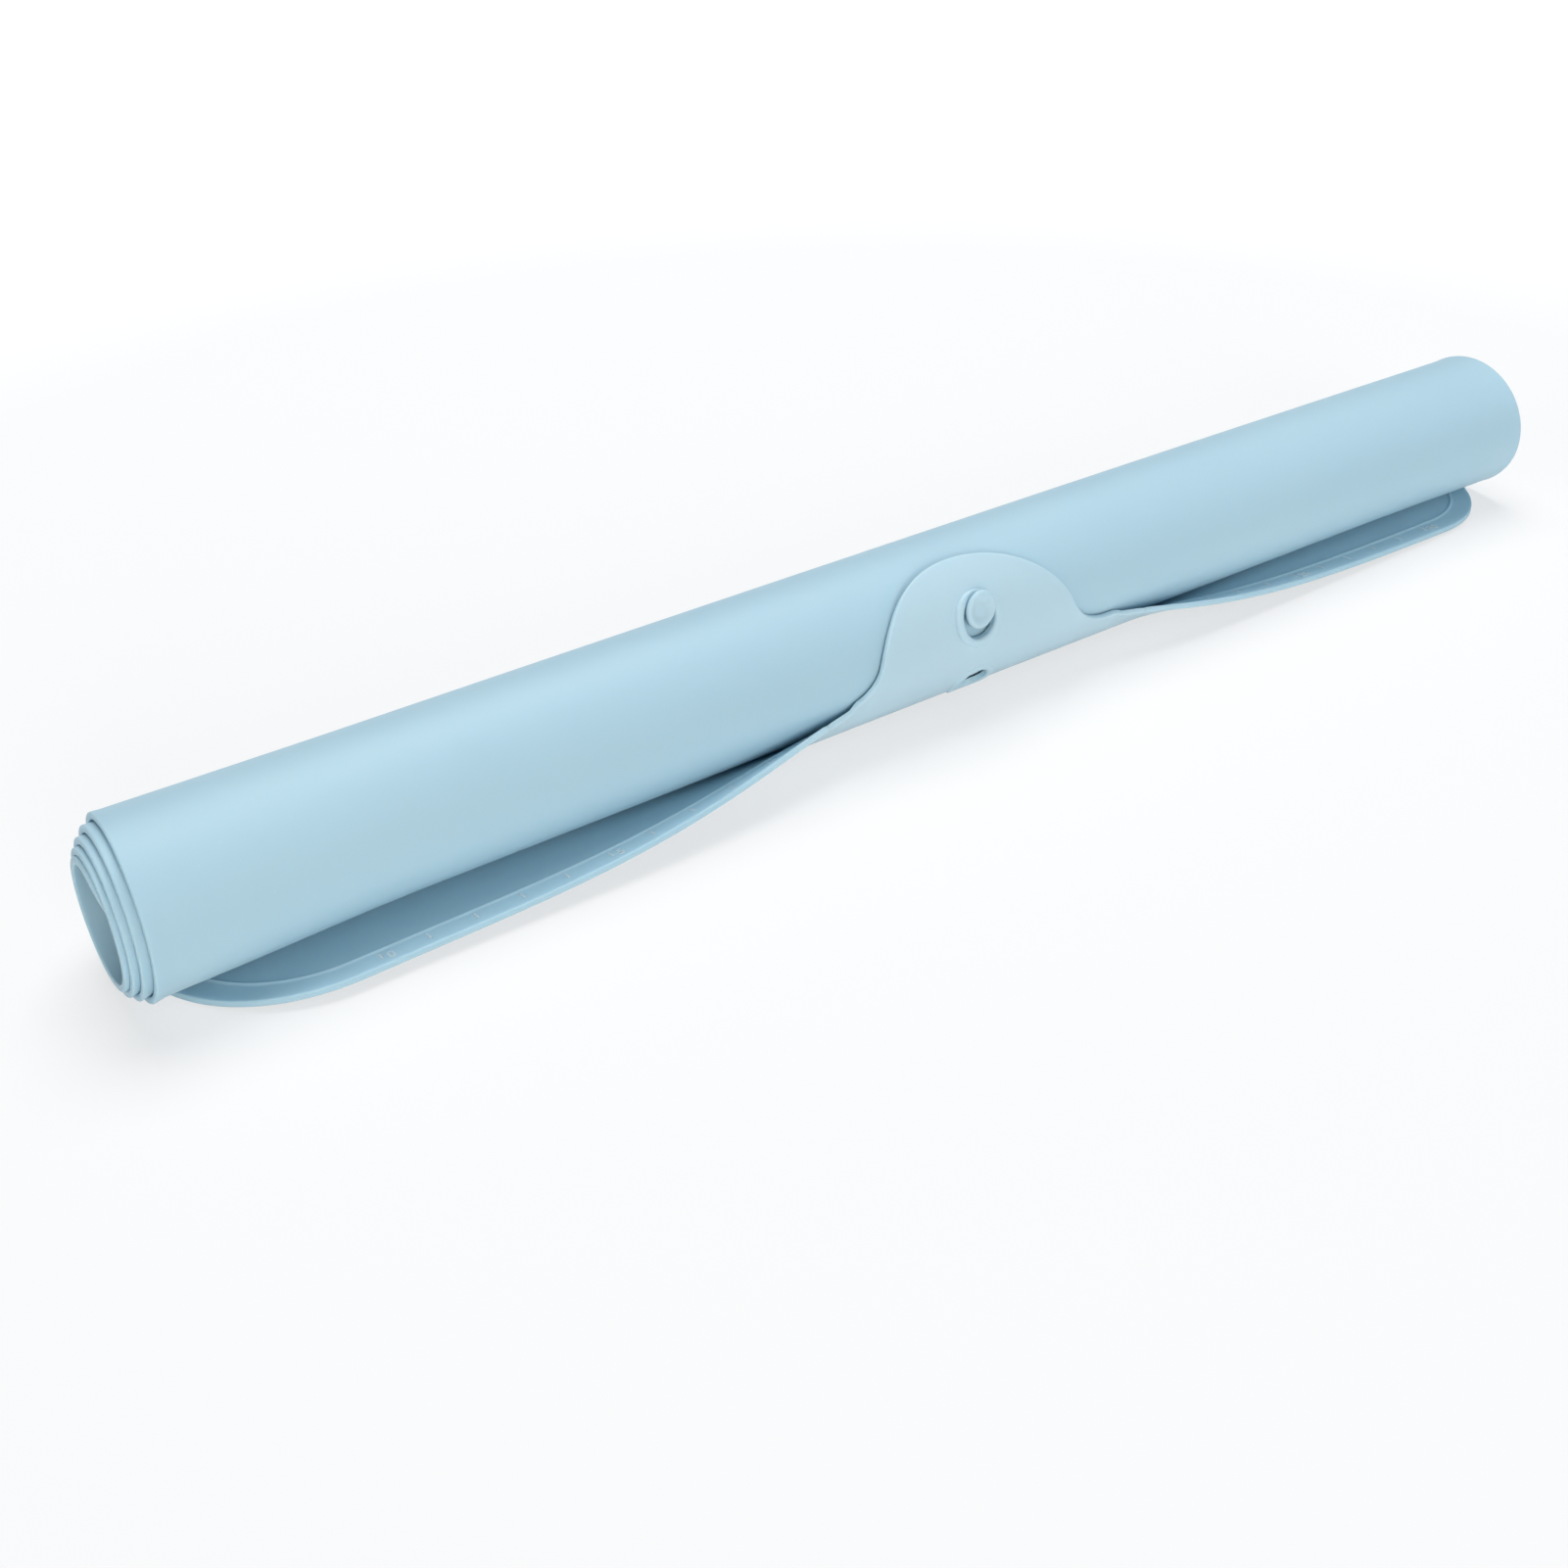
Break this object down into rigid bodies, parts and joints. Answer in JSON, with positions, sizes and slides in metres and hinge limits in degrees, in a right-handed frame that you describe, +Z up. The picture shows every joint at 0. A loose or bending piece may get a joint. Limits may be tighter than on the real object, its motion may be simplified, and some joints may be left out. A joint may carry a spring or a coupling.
{
  "type": "silicone baking mat",
  "caption": "Flexible silicone baking mat rolled up for storage, closed by a moulded tongue buttoned over a stud, with a raised ruler along its edge.",
  "frame": {"origin": "on the table line under the roll's axis, at the middle of the mat's side along the roll", "axes": "+X along the roll, +Y towards its back, +Z up; the flap and tongue face -Y"},
  "size_m": [0.3817, 0.0434, 0.0353],
  "materials": {
    "silicone_sheet": "satin moulded",
    "silicone_tongue": "satin moulded",
    "silicone_fittings": "satin moulded"
  },
  "bodies": {
    "roll": {"rolled_sheet": "silicone_sheet", "flap_middle": "silicone_sheet", "lower_rim": "silicone_fittings", "closing_stud": "silicone_fittings"},
    "tongue": {"closing_tongue": "silicone_tongue", "upper_rim": "silicone_fittings"},
    "left_wing": {"left_wing": "silicone_sheet"},
    "right_wing": {"right_wing": "silicone_sheet"}
  },
  "joints": [
    {"name": "tongue_bend", "type": "hinge", "parent": "roll", "child": "tongue", "pos_m": [0, -0.01862, 0.01738], "axis": [1, 0, 0], "range_deg": [0, 100], "stiffness_Nm_per_rad": 0.003},
    {"name": "left_wing_bend", "type": "hinge", "parent": "roll", "child": "left_wing", "pos_m": [-0.143, -0.00345, 0.00055], "axis": [-1, 0, 0], "range_deg": [-25, 15], "stiffness_Nm_per_rad": 0.006},
    {"name": "right_wing_bend", "type": "hinge", "parent": "roll", "child": "right_wing", "pos_m": [0.143, -0.00345, 0.00055], "axis": [-1, 0, 0], "range_deg": [-25, 12], "stiffness_Nm_per_rad": 0.006}
  ]
}
